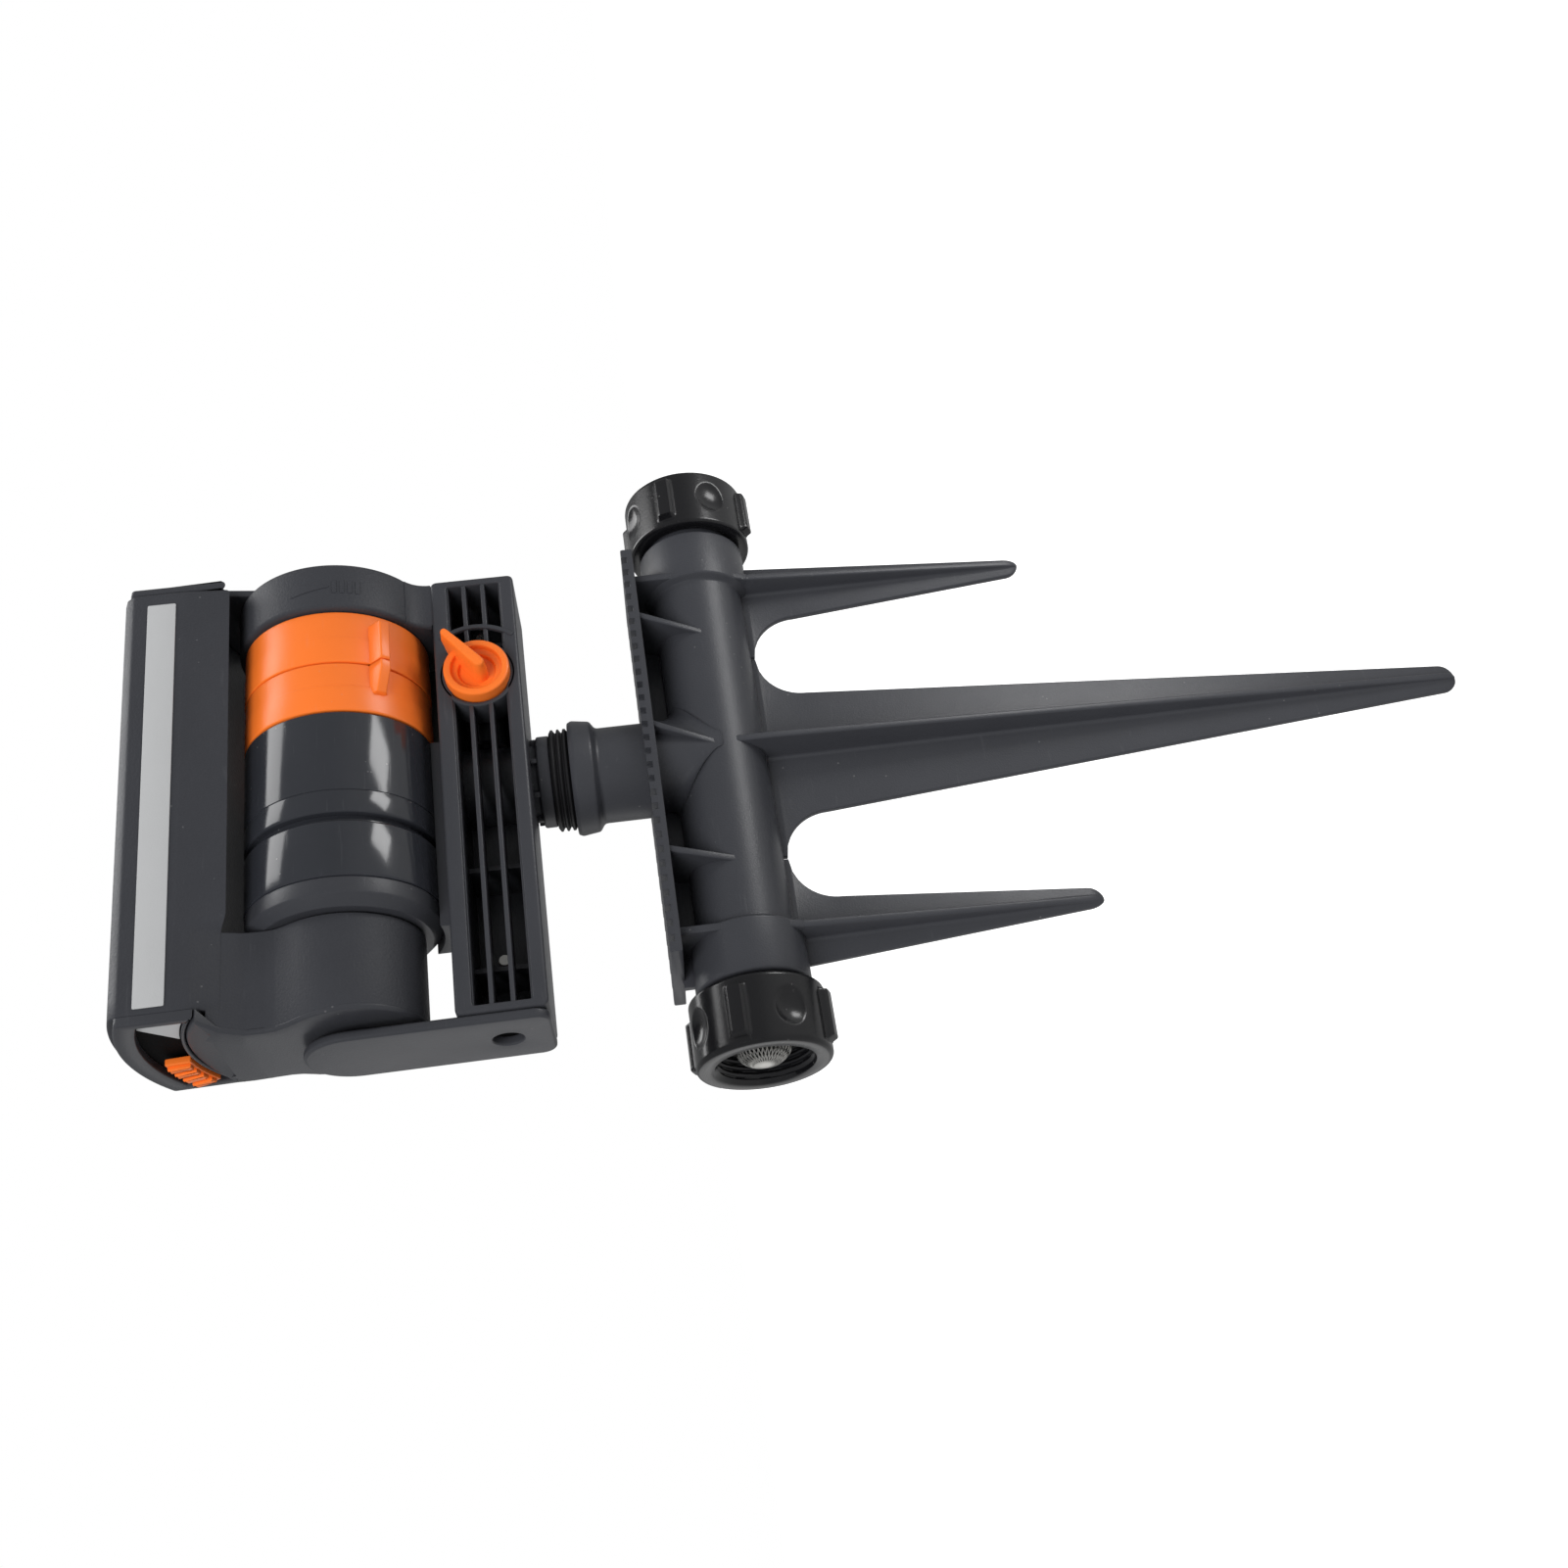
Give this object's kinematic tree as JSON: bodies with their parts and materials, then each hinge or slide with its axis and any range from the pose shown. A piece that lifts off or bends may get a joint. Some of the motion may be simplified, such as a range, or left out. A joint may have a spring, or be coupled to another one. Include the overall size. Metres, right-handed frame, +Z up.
{
  "type": "oscillating spike sprinkler",
  "caption": "Oscillating drum sprinkler on a pronged step spike with a hose tee, swivel nut, end cap, range rings, flow knob and width slider.",
  "frame": {"origin": "on the stem axis at the ground line, where the cross tube rests on the soil", "axes": "+Z up along the stem, -Y out of the front, +X towards the capped end of the cross tube, away from the hose inlet"},
  "size_m": [0.1824, 0.054, 0.3799],
  "materials": {
    "anthracite": "satin",
    "drum_gloss": "gloss",
    "black_gloss": "gloss",
    "orange": "satin",
    "light_grey": "satin",
    "rubber": "matte",
    "stainless": "satin",
    "gear_plastic": "satin"
  },
  "bodies": {
    "spike_base": {"cross_tube": "anthracite", "stem_socket": "anthracite", "step_plate": "anthracite", "plate_ribs": "anthracite", "spike_centre": "anthracite", "spike_far": "anthracite", "spike_near": "anthracite", "hose_washer": "rubber", "filter_mesh": "stainless", "filter_rim": "stainless", "cap_washer": "rubber", "stem_rings": "rubber"},
    "hose_nut": {"hose_nut": "black_gloss"},
    "end_cap": {"end_cap": "black_gloss"},
    "head_base": {"chassis": "anthracite", "near_arm": "anthracite", "far_housing": "anthracite", "inlet_spigot": "anthracite", "spigot_oring": "rubber", "valve_body": "gear_plastic", "flow_scale": "anthracite", "chassis_screws": "stainless", "gear_housing": "drum_gloss", "gearbox_cover": "drum_gloss", "drum_flange": "anthracite", "bearing_plate": "gear_plastic", "jet_ring": "gear_plastic", "pivot_cap": "anthracite"},
    "flow_knob": {"flow_knob": "orange", "knob_spindle": "gear_plastic"},
    "range_ring_far": {"range_ring_far": "orange"},
    "range_ring_near": {"range_ring_near": "orange"},
    "turbine": {"turbine_wheel": "gear_plastic"},
    "reduction": {"reduction_gear": "gear_plastic"},
    "nozzle_head": {"nozzle_shell": "anthracite", "nozzle_neck": "anthracite", "near_face": "anthracite", "slot_frame": "anthracite", "far_plate": "anthracite", "trim_strip": "light_grey", "nozzle_plate": "light_grey", "spray_nozzles": "rubber", "drive_shaft": "gear_plastic"},
    "width_slider": {"width_slider": "orange", "width_shutter": "light_grey"}
  },
  "joints": [
    {"name": "nut_swivel", "type": "hinge", "parent": "spike_base", "child": "hose_nut", "pos_m": [-0.0735, 0, 0.015], "axis": [1, 0, 0], "continuous": true},
    {"name": "cap_screw", "type": "hinge", "parent": "spike_base", "child": "end_cap", "pos_m": [0.078, 0, 0.015], "axis": [1, 0, 0], "range_deg": [0, 1080]},
    {"name": "head_swivel", "type": "hinge", "parent": "spike_base", "child": "head_base", "pos_m": [0, 0, 0.06], "axis": [0, 0, 1], "continuous": true},
    {"name": "flow_turn", "type": "hinge", "parent": "head_base", "child": "flow_knob", "pos_m": [0.025, -0.02, 0.079], "axis": [0, 1, 0], "range_deg": [0, 75]},
    {"name": "ring_far_turn", "type": "hinge", "parent": "head_base", "child": "range_ring_far", "pos_m": [0, -0.0073, 0.119], "axis": [1, 0, 0], "range_deg": [-90, 30]},
    {"name": "ring_near_turn", "type": "hinge", "parent": "head_base", "child": "range_ring_near", "pos_m": [0, -0.0073, 0.119], "axis": [1, 0, 0], "range_deg": [-90, 30]},
    {"name": "spray_sweep", "type": "hinge", "parent": "head_base", "child": "nozzle_head", "pos_m": [0, -0.0073, 0.119], "axis": [1, 0, 0], "range_deg": [-45, 45]},
    {"name": "turbine_spin", "type": "hinge", "parent": "head_base", "child": "turbine", "pos_m": [0, -0.0073, 0.119], "axis": [1, 0, 0], "range_deg": [-190, 190]},
    {"name": "reduction_spin", "type": "hinge", "parent": "head_base", "child": "reduction", "pos_m": [0, -0.0073, 0.131], "axis": [1, 0, 0], "range_deg": [-95, 95]},
    {"name": "width_slide", "type": "hinge", "parent": "nozzle_head", "child": "width_slider", "pos_m": [0, -0.0073, 0.119], "axis": [1, 0, 0], "range_deg": [0, 25]}
  ],
  "couplings": [
    {"joint": "reduction_spin", "follows": "spray_sweep", "ratio": -2},
    {"joint": "turbine_spin", "follows": "spray_sweep", "ratio": 4}
  ]
}
